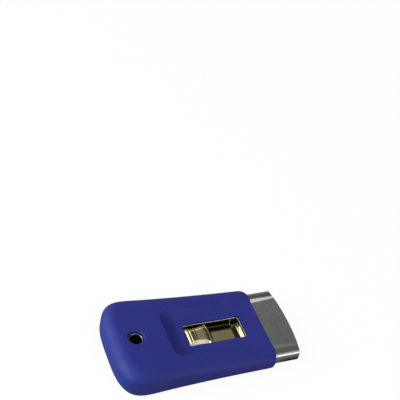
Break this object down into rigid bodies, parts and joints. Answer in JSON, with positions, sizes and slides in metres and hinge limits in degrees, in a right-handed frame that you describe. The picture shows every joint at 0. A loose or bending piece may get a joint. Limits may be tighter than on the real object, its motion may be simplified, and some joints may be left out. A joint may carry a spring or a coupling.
{
  "type": "hand scraper",
  "caption": "Pocket scraper: a wedge-shaped moulded grip with a thumb recess and a hang hole, a folded steel sheath and a single-edge blade on a carriage pushed out by the thumb.",
  "frame": {"origin": "on the grip's flat underside, at the middle of the tool's length and width", "axes": "+X from the grip's tail to the blade end, +Z out of the top face with the window, +Y to the left seen from the tail"},
  "size_m": [0.0994, 0.0532, 0.0152],
  "materials": {
    "grip_blue": "fine-textured violet-blue moulding",
    "sheath_steel": "fine brushing across the tool",
    "carriage_gold": "bright yellow plating on steel",
    "eyelet_steel": "plain bright",
    "blade_steel": "ground",
    "spring_steel": "plain rolled"
  },
  "bodies": {
    "grip_body": {"grip": "grip_blue", "sheath": "sheath_steel", "hang_hole_eyelet": "eyelet_steel"},
    "carriage": {"slide_carriage": "carriage_gold", "thumb_piece": "carriage_gold", "blade": "blade_steel", "blade_spine": "blade_steel", "blade_clip": "spring_steel", "clip_rivet": "blade_steel", "click_rivet": "blade_steel"},
    "click_leaf": {"click_spring": "spring_steel"}
  },
  "joints": [
    {"name": "blade_slide", "type": "slide", "parent": "grip_body", "child": "carriage", "axis": [1, 0, 0], "range_m": [0, 0.016]},
    {"name": "click_drop", "type": "hinge", "parent": "carriage", "child": "click_leaf", "pos_m": [-0.0051, 0, 0.0025], "axis": [0, 1, 0], "range_deg": [0, 2.05], "stiffness_Nm_per_rad": 0.05, "springref_deg": 2.06}
  ]
}
